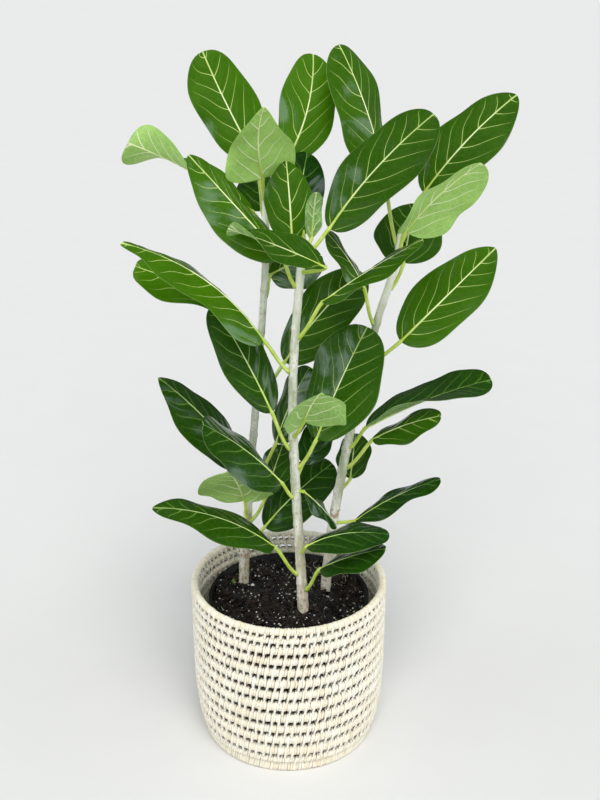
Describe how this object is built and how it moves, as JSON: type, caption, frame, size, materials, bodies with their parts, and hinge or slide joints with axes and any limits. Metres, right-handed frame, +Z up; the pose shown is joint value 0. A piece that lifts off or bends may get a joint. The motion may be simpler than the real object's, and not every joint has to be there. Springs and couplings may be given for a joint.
{
  "type": "potted ficus",
  "caption": "Young ficus with glossy oval leaves on slim pale stems, planted in a black nursery pot that stands inside a coiled palm-leaf basket",
  "frame": {"origin": "middle of the basket's base, on the floor", "axes": "+Z up along the stems; -Y is the front, where the front stem stands; +X is the plant's right, seen from the front"},
  "size_m": [0.4652, 0.2669, 0.8976],
  "materials": {
    "palm": "matte cream palm strip, coiled and stitched",
    "black_plastic": "matte black moulded plastic",
    "soil": "rough dark potting soil with white specks",
    "bark": "smooth pale grey-green bark",
    "bud": "soft yellow-green sheath",
    "leaf": "glossy deep green above, pale matte green below, with pale veins"
  },
  "bodies": {
    "root": {"basket_base": "palm", "basket_foot": "palm", "basket_rim": "palm", "basket_wall": "palm", "growing_tip_front": "bud", "growing_tip_right": "bud", "leaf_front_01": "leaf", "leaf_front_02": "leaf", "leaf_front_03": "leaf", "leaf_front_04": "leaf", "leaf_front_05": "leaf", "leaf_front_06": "leaf", "leaf_front_07": "leaf", "leaf_front_08": "leaf", "leaf_front_09": "leaf", "leaf_front_10": "leaf", "leaf_front_11": "leaf", "leaf_front_12": "leaf", "leaf_front_13": "leaf", "leaf_front_14": "leaf", "leaf_front_15": "leaf", "leaf_front_16": "leaf", "leaf_front_17": "leaf", "leaf_left_01": "leaf", "leaf_left_02": "leaf", "leaf_left_03": "leaf", "leaf_left_04": "leaf", "leaf_left_05": "leaf", "leaf_left_06": "leaf", "leaf_left_07": "leaf", "leaf_left_08": "leaf", "leaf_left_09": "leaf", "leaf_left_10": "leaf", "leaf_left_11": "leaf", "leaf_left_12": "leaf", "leaf_left_13": "leaf", "leaf_right_01": "leaf", "leaf_right_02": "leaf", "leaf_right_03": "leaf", "leaf_right_04": "leaf", "leaf_right_05": "leaf", "leaf_right_06": "leaf", "leaf_right_07": "leaf", "leaf_right_08": "leaf", "leaf_right_09": "leaf", "leaf_right_10": "leaf", "leaf_right_11": "leaf", "nursery_pot": "black_plastic", "soil": "soil", "stem_front": "bark", "stem_left": "bark", "stem_right": "bark"}
  },
  "joints": []
}
